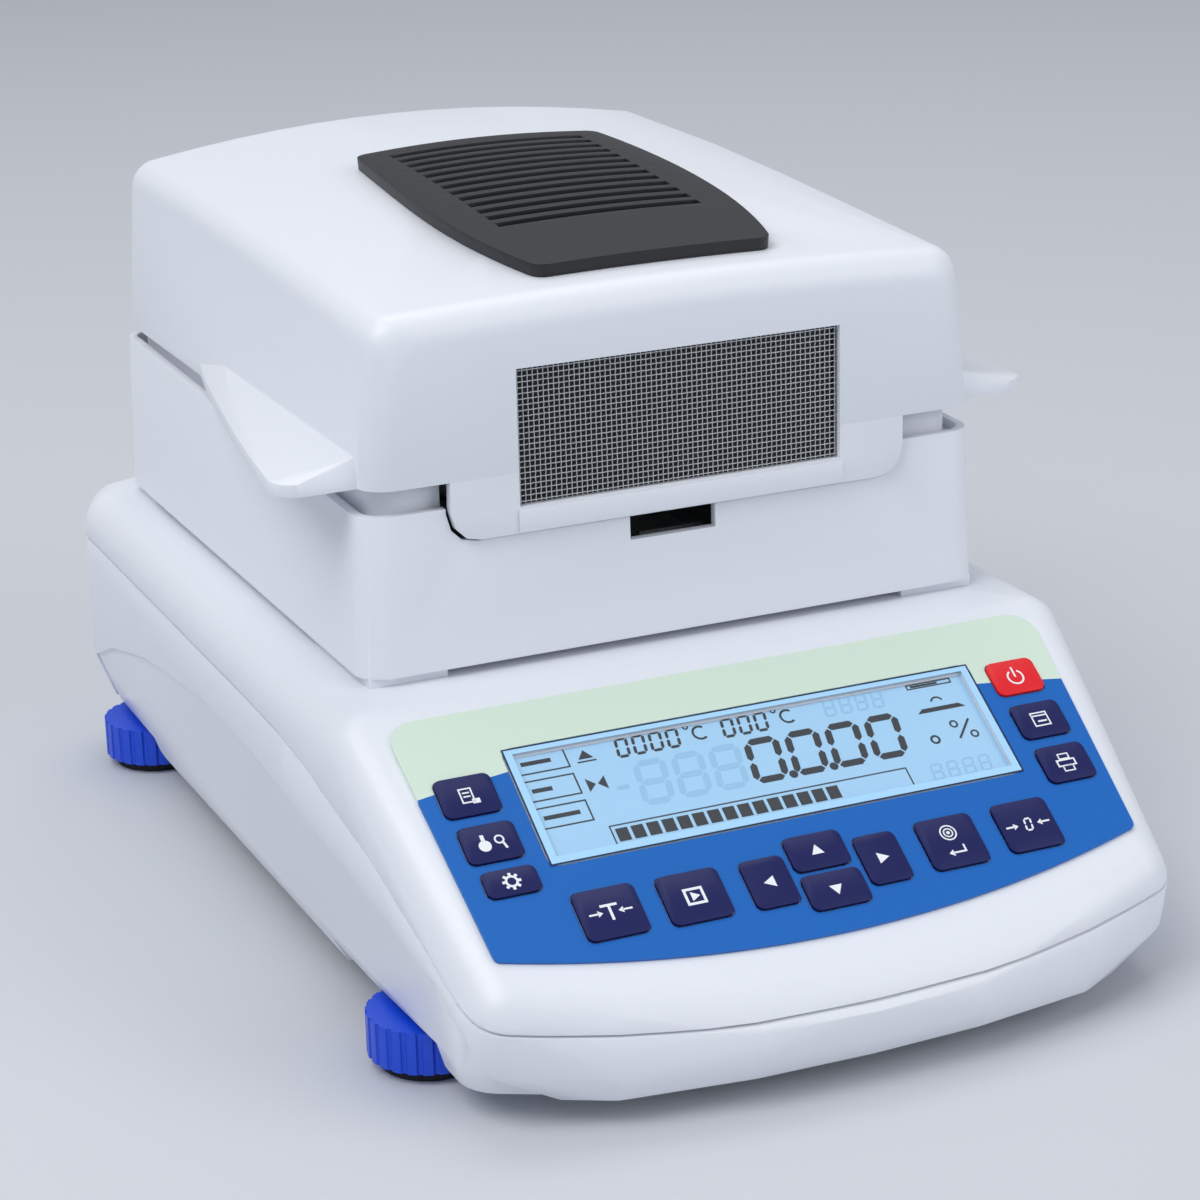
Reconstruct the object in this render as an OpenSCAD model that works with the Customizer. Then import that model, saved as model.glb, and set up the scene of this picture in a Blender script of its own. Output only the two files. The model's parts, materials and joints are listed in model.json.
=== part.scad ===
// Moisture analyzer: a balance in a low base with a sloped keypad, and a heated
// chamber on top under a hinged lid. Millimetres, front toward -Y, resting on z = 0.

/* [Base housing] */
// Full width of the base housing
body_w = 206; // [202:1:212]
// Full depth of the base housing
body_d = 325; // [323:0.5:327]
// Height of the flat deck
deck_h = 82; // [80:0.5:84]
// Height of the front end of the keypad plane
nose_h = 28.95; // [28:0.25:30]
// Wall of the moulded parts
wall = 2.6; // [2.2:0.1:3]

/* [Keypad] */
// Thickness of the keypad membrane
membrane_t = 0.8; // [0.6:0.1:1]
// How far a key stands above the membrane
key_rise = 0.6; // [0.5:0.1:0.9]
// How far a key can be pressed
key_travel = 0.4; // [0.2:0.1:0.4]
// Gap around each key
key_gap = 0.3; // [0.2:0.05:0.4]

/* [Chamber and lid] */
// Height of the lower edge of the lid above the deck
chamber_rise = 51; // [48:1:56]
// Height of the lid from its lower edge to its crown
lid_rise = 55; // [52:1:60]
// Spacing of the bars of the window mesh
mesh_step = 3; // [2.5:0.5:5]
// Number of slots in the grille
slot_count = 13; // [9:1:15]
// Radius of the sample pan
pan_r = 45; // [42:0.5:46]

/* [Feet] */
// Radius of a foot wheel
wheel_r = 15.5; // [14:0.5:16]
// Number of grooves round a foot wheel
wheel_grooves = 24; // [18:1:28]
// Play between a shaft and its hole
play = 0.06; // [0.04:0.01:0.09]

/* [Hidden] */

// The rear face is fixed and the front follows the depth.
rear_y = 166.5;
front_y = rear_y - body_d;
mid_y = -(rear_y + front_y) / 2;
half_w = body_w / 2;
// Shares of the full size, for what keeps its place across, along and up the slope
wide = body_w / 206;
function along(y) = front_y + (y + 158.5) * body_d / 325;

// Line where the deck meets the keypad plane, and the front end of that plane
crest_y = along(-70.5);
foot_of_plane_y = along(-151.57);
panel_tilt = atan((deck_h - nose_h) / (crest_y - foot_of_plane_y));
tall = (crest_y - foot_of_plane_y) / cos(panel_tilt) / 96.88;
crest_s = 99.9 * tall;
rim_z = 7.5;
parting_gap = 0.8;
edge_r = 10;
lid_edge_r = 8;
nose_r = 12;
socket_z = (deck_h + 16) / 2;

// Chamber on the deck, with the pan in its middle
floor_z = deck_h + 2.4;
cham_front = along(-55);
cham_rear = along(150);
cham_hw = half_w - 15;
pan_y = along(47.5);
pan_rim_z = deck_h + 25.2;
cell_y = along(-12.5);

// Lid and what hangs in it
lid_z = deck_h + chamber_rise;
crown_h = lid_z + lid_rise;
lid_hw = half_w - 17.5;
lid_front = cham_front - 1;
apron_hw = lid_hw - 22;
window_hw = lid_hw - 40.5;
window_z = lid_z - 8.9;
window_h = crown_h - 28.5 - window_z;
liner_hw = lid_hw - 13.5;
liner_top = crown_h - 16;
glass_r = lid_hw * 60 / 85.5;
lamp_r = glass_r * 38 / 60;
lamp_z = lid_z + 20;
hinge_y = cham_rear + 5.2;
hinge_z = lid_z - 3;
pin_r = 2.5;

foot_x = half_w - 13.3;
foot_ys = [along(-94.8), along(133)];
well_top = 15.8;

lcd = [-65 * wide, 66 * wide, 46.8 * tall, 82.6 * tall];

// Key name, left, right, lower and upper edge on the sloped panel at full size
key_table = [["program", -84.8, -70.2, 65.2, 76.6], ["setup", -83.8, -69.5, 51.3, 62],
  ["settings", -82.6, -68.8, 41.1, 48.6], ["menu", -63.5, -47.4, 24.2, 38.2],
  ["list", -41.8, -25.5, 23.7, 37.8], ["left", -19.6, -7.9, 23.3, 37.3],
  ["up", -6.1, 9.3, 31.2, 41.3], ["down", -6.1, 9.9, 19.7, 29.8],
  ["right", 11.6, 23, 23.4, 37.7], ["start", 29.1, 44.8, 23.6, 38.4],
  ["zero", 51, 66.4, 24, 38.6], ["power", 70.2, 83.8, 70.2, 80.7],
  ["unit", 70.5, 84.3, 55.8, 66.5], ["print", 71, 84.7, 41.5, 52.5]];
keys = [for (k = key_table)
  [k[0], k[1] * wide, k[2] * wide, k[3] * tall, k[4] * tall]];

white = [0.90, 0.91, 0.94];
navy = [0.02, 0.1, 0.42];
metal = [0.75, 0.76, 0.78];
dark = [0.14, 0.15, 0.17];

// Moves the design so that the middle of its depth is at y = 0.
module mid() translate([0, mid_y, 0]) children();

// Local X across, Y up the slope, Z out of the panel.
module on_panel() translate([0, mid_y + crest_y, deck_h]) rotate([panel_tilt, 0, 0])
  translate([0, -crest_s, 0]) children();

function panel_z(y) = deck_h - (crest_y - y) * tan(panel_tilt);
// Centre height of a ball of radius r that touches the panel plane from below
function under(y, r) = panel_z(y - r * sin(panel_tilt)) - r * cos(panel_tilt);
crest_ball = crest_y + edge_r * sin(panel_tilt)
  - edge_r * (1 - cos(panel_tilt)) / tan(panel_tilt);

module disc(x, y, z, r, h, fn = 48) translate([x, y, z]) cylinder(r = r, h = h, $fn = fn);

// Outer form of the base, and the hollow inside it when i is the wall.
module body_form(i, bf = 32) {
  hull() {
    for (m = [-1, 1]) {
      for (p = [[0, 10], [7.07, 7.07], [10, 0]])
        translate([m * (half_w - 20 + p[0]), rear_y - 20 + p[1], deck_h - edge_r])
          sphere(r = edge_r - i, $fn = bf);
      translate([m * (half_w - edge_r), crest_ball, deck_h - edge_r])
        sphere(r = edge_r - i, $fn = bf);
      translate([m * (half_w - 19), front_y + 26.5, under(front_y + 26.5, nose_r)])
        sphere(r = nose_r - i, $fn = bf);
      translate([m * 62 * wide, front_y + 20, under(front_y + 20, nose_r)])
        sphere(r = nose_r - i, $fn = bf);
      translate([m * 32 * wide, front_y + 15.2, under(front_y + 15.2, nose_r)])
        sphere(r = nose_r - i, $fn = bf);
      disc(m * (half_w - 20), rear_y - 20, 31, 20 - i, deck_h - 52);
      disc(m * (half_w - 20), along(-30), 23, 20 - i, deck_h - 42);
      disc(m * (half_w - 22), front_y + 31.5, 15.5, 16 - i, 8.5);
      disc(m * 30 * wide, front_y + 6, 13.5, 5 - i, 7, 24);
      disc(m * 62 * wide, front_y + 12, 13.8, 5 - i, 7, 24);
      disc(m * (half_w - 22), rear_y - 23, rim_z + i, 14 - i, 1);
      disc(m * (half_w - 21), front_y + 34, rim_z + i, 13 - i, 1);
      disc(m * 30 * wide, front_y + 9.5, rim_z + i, 5 - i, 1, 24);
      disc(m * 62 * wide, front_y + 14, rim_z + i, 5 - i, 1, 24);
    }
    translate([0, front_y + 13.5, under(front_y + 13.5, nose_r)])
      sphere(r = nose_r - i, $fn = bf);
    disc(0, front_y + 5, 13.3, 5 - i, 7, 24);
    disc(0, front_y + 8.5, rim_z + i, 5 - i, 1, 24);
  }
}

// Height on the joint line, which follows the deck
function seam(z) = 22 + (z - 22) * (deck_h - 38) / 44;

// Side outline of the joint between cover and tray
function parting() = [[front_y - 9, 21.2], [front_y + 2, 22], [front_y + 17, seam(27)],
  [front_y + 28, seam(31)], [along(-113.5), seam(40.5)], [along(-88), seam(53)],
  [along(-53), seam(62.6)], [along(-30), seam(65)], [along(-1), seam(66)],
  [along(65), seam(67)], [rear_y + 9, seam(68.5)]];

module across(pts) rotate([90, 0, 90]) linear_extrude(height = 260, center = true)
  polygon(pts);

module above_parting(g)
  translate([0, 0, g]) across(concat(parting(), [[rear_y + 9, 200], [front_y - 9, 200]]));

module below_parting()
  across(concat(parting(), [[rear_y + 9, -5], [front_y - 9, -5]]));

// Faint arch moulded in the sides of the tray
module arch_zone() across([[front_y + 12, 0], [front_y + 24, 24],
  [along(-120.5), seam(33)], [along(-98), seam(38)], [along(-72), seam(44)],
  [along(-46), seam(48.4)], [along(-6), seam(52)], [along(39), seam(52.8)],
  [along(92), seam(47.4)], [along(128), seam(39)], [along(150), seam(30)],
  [along(150), 0]]);

module wells(g) {
  for (m = [-1, 1]) {
    translate([m * foot_x, 0, 0]) {
      disc(0, foot_ys[0], -1, wheel_r + 3.5 + g, well_top + 1 + g);
      disc(0, foot_ys[1], -1, wheel_r + 3.5 + g, well_top + 1 + g);
      translate([m * 20, foot_ys[0] + 11 - g / 2, well_top / 2 - 1])
        cube([40, 68 + 2 * g, well_top + 2 + 2 * g], center = true);
      translate([m * 20, foot_ys[1] + 21, well_top / 2 - 1])
        cube([40, 90 + 2 * g, well_top + 2 + 2 * g], center = true);
      translate([0, foot_ys[1] + 33, well_top / 2 - 1])
        cube([38 + 2 * g, 66 + 2 * g, well_top + 2 + 2 * g], center = true);
    }
  }
}

posts = [for (m = [-1, 1], y = [along(-38), along(80)]) [m * (half_w - 25), y]];

module base_tray() color(white) mid() {
  difference() {
    intersection() {
      union() {
        difference() {
          body_form(0);
          arch_zone();
        }
        body_form(0.9, 24);
      }
      below_parting();
    }
    difference() {
      body_form(wall, 16);
      wells(wall);
      for (p = posts)
        disc(p[0], p[1], 0, 6, 20, 32);
      for (m = [-1, 1], y = foot_ys)
        disc(m * foot_x, y, 0, 7, 32, 32);
      for (m = [-1, 0, 1], y = [along(-57), along(-26)])
        disc(m * (half_w - 47), y, 0, 3, 14, 24);
    }
    wells(0);
    for (p = posts) {
      disc(p[0], p[1], 0, 2.2, 30, 24);
      disc(p[0], p[1], 0, 4.5, rim_z + 2.5, 32);
    }
    for (m = [-1, 1], y = foot_ys)
      disc(m * foot_x, y, 5, 3 + play, 25.5, 32);
    // Shallow pocket and openings for the sockets on the rear
    translate([0, rear_y, socket_z]) cube([150 * wide, 3, deck_h - 50], center = true);
    translate([54 * wide, rear_y, socket_z]) cube([27.4, 14, 20.4], center = true);
    translate([20 * wide, rear_y, socket_z]) cube([13.4, 14, 19.4], center = true);
    for (x = [-56, -22])
      translate([x * wide, rear_y, socket_z]) cube([18, 14, 9.5], center = true);
    translate([-2 * wide, rear_y, socket_z]) cube([8.4, 14, 7.6], center = true);
    // Vents in the bottom
    for (x = [-45:6:45])
      translate([x * wide, along(122), rim_z + 1]) cube([2.4, 36, 8], center = true);
  }
}

module base_cover() color(white) {
  difference() {
    mid() intersection() {
      difference() {
        body_form(0);
        difference() {
          body_form(wall, 16);
          for (p = posts)
            disc(p[0], p[1], 20, 5, deck_h - 2, 32);
        }
      }
      union() {
        above_parting(parting_gap);
        for (p = posts)
          disc(p[0], p[1], 20, 5, deck_h - 22, 32);
      }
    }
    mid() {
      for (p = posts)
        disc(p[0], p[1], 19, 2, 22, 24);
      disc(0, pan_y, deck_h - 10, 14, 20);
      disc(60 * wide, rear_y - 11.5, deck_h - 1.6, 4 + play, 5, 32);
      // Ports for the lamp wiring
      for (x = [-30, 30])
        disc(x, along(135), deck_h - 10, 5, 20, 32);
    }
    on_panel() {
      translate([lcd[0] + 2.5, lcd[2] + 2.5, -10])
        cube([lcd[1] - lcd[0] - 5, lcd[3] - lcd[2] - 5, 20]);
      for (k = keys)
        disc((k[1] + k[2]) / 2, (k[3] + k[4]) / 2, -10, 2.3, 20, 24);
    }
  }
  on_panel()
    for (p = [[-55.7, 23], [55.7, 23], [-86.4, 63], [86.4, 63], [-73, 33], [73, 33]])
      disc(p[0] * wide, p[1] * tall, -wall - 2, 1.8, 2.3, 24);
}

module rounded(x0, x1, y0, y1, r) {
  translate([x0 + r, y0]) square([x1 - x0 - 2 * r, y1 - y0]);
  translate([x0, y0 + r]) square([x1 - x0, y1 - y0 - 2 * r]);
  for (x = [x0 + r, x1 - r], y = [y0 + r, y1 - r])
    translate([x, y]) circle(r = r, $fn = 32);
}

// Membrane with straight sides and a shallow arc along its lower edge
module membrane_outline() {
  hw = 90.5 * wide;
  rounded(-hw, hw, 40 * tall, 95.6 * tall, 7);
  intersection() {
    rounded(-hw, hw, 10 * tall, 80 * tall, 7);
    translate([0, 13 * tall + 327]) circle(r = 327, $fn = 240);
    polygon([[-hw, 80 * tall], [hw, 80 * tall], [hw - 3.5, 22 * tall], [hw - 10.5, 6 * tall],
      [10.5 - hw, 6 * tall], [3.5 - hw, 22 * tall]]);
  }
}

module keypad_overlay() color([0.82, 0.91, 0.84]) on_panel() difference() {
  translate([0, 0, 0.02]) linear_extrude(height = membrane_t) membrane_outline();
  translate([0, 0, -1]) linear_extrude(height = 4) rounded(lcd[0], lcd[1], lcd[2], lcd[3], 3);
  for (k = keys)
    translate([0, 0, -1]) linear_extrude(height = 4)
      rounded(k[1] - key_gap, k[2] + key_gap, k[3] - key_gap, k[4] + key_gap, 2.2);
}

// A key with a short plunger that reaches through the panel to its dome
module key_cap(n) {
  k = keys[n];
  translate([0, 0, key_travel + 0.08]) linear_extrude(height = membrane_t + key_rise - key_travel)
    rounded(k[1], k[2], k[3], k[4], 2);
  disc((k[1] + k[2]) / 2, (k[3] + k[4]) / 2, -wall - 0.3, 2, wall + 1, 24);
}

module key_program() color(navy) on_panel() key_cap(0);
module key_setup() color(navy) on_panel() key_cap(1);
module key_settings() color(navy) on_panel() key_cap(2);
module key_menu() color(navy) on_panel() key_cap(3);
module key_list() color(navy) on_panel() key_cap(4);
module key_left() color(navy) on_panel() key_cap(5);
module key_up() color(navy) on_panel() key_cap(6);
module key_down() color(navy) on_panel() key_cap(7);
module key_right() color(navy) on_panel() key_cap(8);
module key_start() color(navy) on_panel() key_cap(9);
module key_zero() color(navy) on_panel() key_cap(10);
module key_power() color([0.93, 0.11, 0.14]) on_panel() key_cap(11);
module key_unit() color(navy) on_panel() key_cap(12);
module key_print() color(navy) on_panel() key_cap(13);

module lcd_window() color([0.7, 0.86, 0.98, 0.5]) on_panel()
  translate([0, 0, 0.02]) linear_extrude(height = membrane_t + 0.15)
    rounded(lcd[0] + 0.2, lcd[1] - 0.2, lcd[2] + 0.2, lcd[3] - 0.2, 2.8);

module lcd_module() color([0.69, 0.86, 0.99]) on_panel() {
  translate([lcd[0] + 2.7, lcd[2] + 2.7, -wall - 1])
    cube([lcd[1] - lcd[0] - 5.4, lcd[3] - lcd[2] - 5.4, wall + 0.7]);
  translate([lcd[0] + 0.5, lcd[2] + 0.5, -wall - 1.9])
    cube([lcd[1] - lcd[0] - 1, lcd[3] - lcd[2] - 1, 1.85]);
}

// Board under the keys, cut round the display
module keypad_board() color([0.05, 0.35, 0.2]) on_panel() difference() {
  translate([-88 * wide, 18 * tall, -wall - 3.6]) cube([176 * wide, 66 * tall, 1.6]);
  translate([lcd[0] - 1, lcd[2] - 1, -wall - 5]) cube([lcd[1] - lcd[0] + 2, 60 * tall, 6]);
}

module dome_switches() color(metal) on_panel()
  for (k = keys)
    disc((k[1] + k[2]) / 2, (k[3] + k[4]) / 2, -wall - 2, 3, 1.65 - key_travel, 24);

module main_board() color([0.05, 0.35, 0.2]) mid() {
  translate([39 - half_w, along(-66), 14]) cube([body_w - 78, along(-20) - along(-66), 1.6]);
  translate([-20, along(-54), 15.6]) cube([24, 24, 2.4]);
  translate([20, along(-36), 15.6]) cube([14, 8, 6]);
  for (x = [-50:12:-30])
    disc(x * wide, along(-32), 15.6, 4, 11, 24);
}

module power_supply() color(dark) mid() difference() {
  translate([foot_x - 70, along(96), rim_z + wall]) cube([46, along(140) - along(96), 34]);
  for (y = [along(101):5:along(136)])
    translate([foot_x - 80, y, rim_z + wall + 8]) cube([70, 2, 40]);
}

// Recessed mains socket with three blades
module mains_inlet() color(dark) mid() {
  difference() {
    translate([54 * wide, rear_y - 9.2, socket_z]) cube([27, 18, 20], center = true);
    translate([54 * wide, rear_y - 4, socket_z]) cube([23.5, 16, 16.5], center = true);
  }
  for (p = [[-7, -2], [7, -2], [0, 3]])
    translate([54 * wide + p[0], rear_y - 8, socket_z + p[1]]) cube([1.8, 12, 4], center = true);
}

// Rocker with its pin across the opening
module power_switch() color([0.1, 0.1, 0.11]) mid()
  translate([20 * wide, rear_y - 7.2, socket_z]) {
    intersection() {
      cube([12.6, 13, 18.4], center = true);
      rotate([0, 90, 0]) cylinder(r = 9.1, h = 20, center = true, $fn = 64);
    }
  }

module serial_ports() color(metal) mid()
  for (x = [-56, -22])
    translate([x * wide, rear_y - 6.6, socket_z]) difference() {
      union() {
        cube([17.6, 11, 9.1], center = true);
        translate([0, 2.5, 0]) cube([17.6, 6, 9.1], center = true);
      }
      translate([0, 3, 0]) cube([15.6, 7, 7.1], center = true);
    }

module usb_port() color(metal) mid()
  translate([-2 * wide, rear_y - 7, socket_z]) difference() {
    cube([8, 12, 7.2], center = true);
    translate([0, 2, 0]) cube([6.4, 10, 5.4], center = true);
  }

// Flexing beam with its two crossed windows
module load_cell() color(metal) mid() difference() {
  translate([-14, cell_y, 28]) cube([28, pan_y + 14 - cell_y, 24]);
  for (y = [cell_y + 18, pan_y - 18])
    translate([-20, y, 40]) rotate([0, 90, 0]) cylinder(r = 8, h = 40, $fn = 32);
  translate([-20, cell_y + 18, 38]) cube([40, pan_y - 36 - cell_y, 4]);
  disc(0, pan_y, 43, 4 + play, 20, 32);
}

module load_cell_bracket() color([0.6, 0.61, 0.63]) mid() {
  translate([-24, cell_y - 4, rim_z + wall]) cube([48, pan_y + 24 - cell_y, 5]);
  translate([-14, cell_y, rim_z + wall + 5]) cube([28, 14, 28 - rim_z - wall - 5]);
}

module pan_spindle() color(metal) mid() disc(0, pan_y, 43.6, 4, pan_rim_z - 7.6 - 43.6, 32);

module pan_carrier() color(metal) mid() {
  difference() {
    disc(0, pan_y, pan_rim_z - 9.6, pan_r - 10, 2, 64);
    disc(0, pan_y, pan_rim_z - 17, 4.02, 20, 32);
    for (a = [0:120:240])
      translate([0, pan_y, pan_rim_z - 17]) rotate([0, 0, a]) translate([pan_r / 2 - 2.5, 0, 0])
        cylinder(r = 8, h = 20, $fn = 32);
  }
}

module sample_pan() color([0.8, 0.81, 0.83]) mid() translate([0, pan_y, 0])
  rotate_extrude($fn = 96)
    polygon([[0, pan_rim_z - 7.5], [pan_r, pan_rim_z - 7.5], [pan_r, pan_rim_z - 0.2],
      [pan_r + 5, pan_rim_z - 0.2],
      [pan_r + 5, pan_rim_z + 0.6], [pan_r - 0.8, pan_rim_z + 0.6], [pan_r - 0.8, pan_rim_z - 6.7],
      [0, pan_rim_z - 6.7]]);

// Ring under the rim of the pan with a grip toward the front
module pan_handle() color(metal) mid() {
  difference() {
    union() {
      disc(0, pan_y, pan_rim_z - 2.2, pan_r + 11, 1.5, 96);
      translate([-9, cham_front + 7, pan_rim_z - 2.2]) cube([18, pan_y - cham_front - 52, 1.5]);
    }
    disc(0, pan_y, pan_rim_z - 7, pan_r + 1.5, 20, 96);
  }
  translate([-9, cham_front + 7, pan_rim_z - 2.2]) cube([18, 1.5, 5]);
}

module draft_ring() color(metal) mid() difference() {
  disc(0, pan_y, floor_z + 3.8, pan_r + 9.5, pan_rim_z - floor_z - 6.1, 96);
  disc(0, pan_y, floor_z, pan_r + 8.2, 40, 96);
}

module chamber_form(i, top) hull()
  for (m = [-1, 1]) {
    disc(m * (cham_hw - 8), cham_front + 8, floor_z + i, 8 - i, 1, 32);
    disc(m * (cham_hw - 8), cham_rear - 8, floor_z + i, 8 - i, 1, 32);
    disc(m * (cham_hw - 9.5), cham_front + 8.6, lid_z - 8 + top, 8 - i, 1, 32);
    disc(m * (cham_hw - 9.5), cham_rear - 8, lid_z - 4.5 + top, 8 - i, 1, 32);
  }

module apron_outline(g, lo) {
  hw = apron_hw + g;
  hi = crown_h - 22;
  polygon([[-hw, hi], [-hw, lo + 8], [-hw + 1.2, lo + 3.6], [-hw + 4, lo + 0.8],
    [-hw + 8, lo], [hw - 8, lo], [hw - 4, lo + 0.8], [hw - 1.2, lo + 3.6], [hw, lo + 8],
    [hw, hi]]);
}

module chamber_base() color(white) mid() {
  difference() {
    chamber_form(0, 0);
    chamber_form(wall, 8);
    // Recess for the apron of the lid, and the finger notch under it
    translate([0, cham_front + 6, 0]) rotate([90, 0, 0]) linear_extrude(height = 10)
      apron_outline(0.8, lid_z - 16.3);
    translate([-14.5, cham_front - 2, lid_z - 22.5]) cube([24, 10, 8]);
    disc(0, pan_y, floor_z - 4, 14, 10);
    for (x = [-30, 30])
      disc(x, along(135), floor_z - 4, 5, 10, 32);
    // Slots in the rear wall
    for (x = [-18:6:18])
      translate([x, cham_rear, lid_z - 29]) cube([2.4, 12, 16], center = true);
  }
  // Inner lip that the lid closes over
  difference() {
    hull()
      for (m = [-1, 1], y = [cham_front + 12.5, cham_rear - 11.5])
        disc(m * (cham_hw - 14), y, lid_z - 11, 8, 10.2, 32);
    hull()
      for (m = [-1, 1], y = [cham_front + 12.5, cham_rear - 11.5])
        disc(m * (cham_hw - 14), y, lid_z - 13, 6, 14, 32);
    translate([-apron_hw - 0.8, cham_front, lid_z - 17]) cube([2 * apron_hw + 1.6, 20, 20]);
  }
  difference() {
    hull()
      for (m = [-1, 1], y = [cham_front + 11, cham_rear - 10.5])
        disc(m * (cham_hw - 12), y, lid_z - 11.5, 8, 2.2, 32);
    hull()
      for (m = [-1, 1], y = [cham_front + 12.5, cham_rear - 11.5])
        disc(m * (cham_hw - 14), y, lid_z - 13, 6, 14, 32);
    translate([-apron_hw - 0.8, cham_front, lid_z - 17]) cube([2 * apron_hw + 1.6, 20, 20]);
  }
  // Pads that carry the chamber on the deck
  for (m = [-1, 1]) {
    translate([m * (cham_hw - 12.5) - 10.5, cham_front + 2, deck_h]) cube([21, 9, floor_z - deck_h + 1]);
    translate([m * (cham_hw - 7) - 5, cham_front + 2, deck_h]) cube([10, 39, floor_z - deck_h + 1]);
    translate([m * (cham_hw - 7) - 5, cham_rear - 22, deck_h]) cube([10, 18, floor_z - deck_h + 1]);
    translate([m * 40 - 10, pan_y + 12.5, deck_h]) cube([20, 18, floor_z - deck_h + 1]);
  }
}

// Sheet-metal floor on four short legs
module chamber_floor() color(metal) mid() difference() {
  union() {
    translate([8 - cham_hw, cham_front + 9, floor_z + 3])
      cube([2 * cham_hw - 16, cham_rear - cham_front - 18, 0.8]);
    for (m = [-1, 1], y = [cham_front + 25, cham_rear - 25])
      disc(m * (cham_hw - 18), y, floor_z + wall, 3, 1, 24);
  }
  disc(0, pan_y, floor_z - 4, 12, 20);
}

// Stations along the lid: depth, height of its sides and height of its crown
lid_stations = [[lid_front + 8, crown_h - 12.5, crown_h - 10.5],
  [along(0), crown_h - 10.1, crown_h - 5.5], [along(40), crown_h - 8.2, crown_h - 2],
  [along(85), crown_h - 6.7, crown_h], [cham_rear - 8, crown_h - 6.4, crown_h]];

// Cross-section of the lid at one station, drawn in by the amount cut
module lid_slice(y, side, crown, cut, i, steps) {
  r = lid_edge_r - i;
  top = side - cut - i;
  hw = lid_hw - 3 - cut - i;
  lift = crown - side;
  turns = [for (a = [0:90 / steps:90]) [hw - r + r * cos(a), top - r + r * sin(a)]];
  arch = [for (n = [1:2 * steps - 1]) let (u = 1 - n / steps)
    [(hw - r) * u, top + lift * (1 - u * u)]];
  side_pts = concat([[hw + 3, lid_z - 2 * i]], turns);
  left = [for (n = [len(side_pts) - 1:-1:0]) [-side_pts[n][0], side_pts[n][1]]];
  translate([0, y, 0]) rotate([90, 0, 0]) linear_extrude(height = 0.02, center = true)
    polygon(concat(side_pts, arch, left));
}

// Lid from its lower edge to its crown, and the hollow inside it when i is the wall
module lid_form(i, steps = 6) hull() {
  r = lid_edge_r - i;
  last = len(lid_stations) - 1;
  for (n = [0:last])
    lid_slice(lid_stations[n][0], lid_stations[n][1], lid_stations[n][2], 0, i, steps);
  for (a = [0:90 / steps:89])
    let (cut = r * (1 - cos(a + 90 / steps))) {
      f = lid_stations[0];
      e = lid_stations[last];
      lid_slice(f[0] - r * sin(a + 90 / steps), f[1], f[2], cut, i, steps);
      lid_slice(e[0] + r * sin(a + 90 / steps), e[1], e[2], cut, i, steps);
    }
}

// One grip, from the side of the lid out to its rounded tip
module wing_outline() {
  tip_x = lid_hw + 13;
  tip_y = lid_front + 14;
  polygon(concat([[lid_hw - 15.5, tip_y - 7], [tip_x, tip_y - 7]],
    [for (a = [-75:15:15]) [tip_x + 7 * cos(a), tip_y + 7 * sin(a)]],
    [[lid_hw + 17, along(-18)], [lid_hw + 14, along(2)], [lid_hw + 9.5, along(28)],
      [lid_hw + 4, along(58)], [lid_hw - 1, along(80)], [lid_hw - 15.5, along(80)]]));
}

module lid_shell() color(white) mid() {
  difference() {
    union() {
      lid_form(0);
      for (m = [0, 1])
        mirror([m, 0, 0]) hull() {
          translate([0, 0, lid_z - 0.2]) linear_extrude(height = 3.2) wing_outline();
          translate([lid_hw - 15.5, lid_front + 9, lid_z])
            cube([14.5, along(57) - lid_front - 9, 7.5]);
        }
      translate([0, lid_front + 2.8, 0]) rotate([90, 0, 0]) linear_extrude(height = 2.8)
        apron_outline(0, lid_z - 15.7);
      for (m = [-1, 1])
        translate([m * 33 - 5, cham_rear - 3, hinge_z + 3]) cube([10, 5, 9]);
      for (m = [-1, 1])
        translate([m * 33 - 5, hinge_y, hinge_z]) rotate([0, 90, 0])
          cylinder(r = 4.5, h = 10, $fn = 40);
      for (m = [-1, 1])
        translate([m * 33 - 5, cham_rear - 1, hinge_z + 0.6]) cube([10, hinge_y - cham_rear + 1, 5]);
    }
    difference() {
      lid_form(wall, 3);
      for (m = [-1, 1], y = [along(-20), along(115)])
        disc(m * (lid_hw - 25.5), y, liner_top, 3.5, 30, 24);
    }
    translate([-window_hw, lid_front - 5, window_z]) cube([2 * window_hw, 12, window_h]);
    translate([-33 * wide, along(-12), crown_h - 23])
      cube([66 * wide, along(72) - along(-12), 40]);
    translate([-50, hinge_y, hinge_z]) rotate([0, 90, 0])
      cylinder(r = pin_r + play, h = 100, $fn = 40);
  }
}

module grille_outline() polygon([for (p = [[-36, 77], [36, 77], [38, 74], [40, 10],
  [40, 0], [33.5, -38], [31, -42], [-31, -42], [-33.5, -38], [-40, 0], [-40, 10],
  [-38, 74]]) [p[0] * wide, along(p[1])]]);

// Black vent plate that follows the crown
module lid_grille() color(dark) mid() {
  first = along(70);
  step = (first - along(-12)) / slot_count;
  difference() {
    intersection() {
      translate([0, 0, crown_h - 38]) linear_extrude(height = 60) grille_outline();
      translate([0, 0, 3.5]) lid_form(0);
    }
    translate([0, 0, 0.05]) lid_form(0);
    for (n = [0:slot_count - 1])
      translate([-29 * wide, first - n * step - step * 0.55, crown_h - 28])
        cube([58 * wide, step * 0.55, 50]);
  }
}

module window_mesh() color([0.25, 0.26, 0.28]) mid()
  translate([0, lid_front + 1.2, 0]) {
    for (x = [-window_hw + 0.5:mesh_step:window_hw - 0.5])
      translate([x, 0, window_z + 0.2]) cube([0.5, 0.5, window_h - 0.4]);
    for (z = [window_z + 0.5:mesh_step:window_z + window_h - 0.7])
      translate([-window_hw + 0.1, 0.25, z]) cube([2 * window_hw - 0.2, 0.5, 0.5]);
  }

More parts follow.
